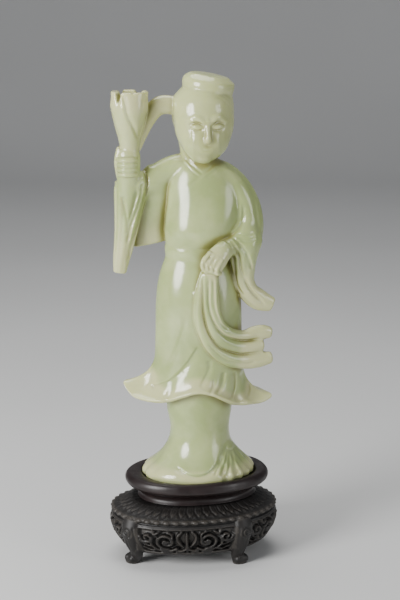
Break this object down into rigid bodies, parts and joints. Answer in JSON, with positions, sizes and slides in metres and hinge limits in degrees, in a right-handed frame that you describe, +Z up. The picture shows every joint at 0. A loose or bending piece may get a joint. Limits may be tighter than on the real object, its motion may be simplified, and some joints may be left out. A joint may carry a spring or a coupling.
{
  "type": "jade lady figure on a carved wood stand",
  "caption": "Standing lady in pale green jade, holding up a magnolia bud, on an oval carved dark wood stand.",
  "frame": {"origin": "on the table, under the middle of the whole object's box", "axes": "+Z up, +X along the long axis of the oval stand towards the lady's left hand, -Y the lady's front"},
  "size_m": [0.0882, 0.0662, 0.246],
  "materials": {
    "jade": "polished, translucent pale green",
    "tray_wood": "dark red-brown, waxed",
    "drum_wood": "dark brown, dry in the carving"
  },
  "bodies": {
    "root": {"jade_lady": "jade", "stand_tray": "tray_wood", "stand_drum": "drum_wood"}
  },
  "joints": []
}
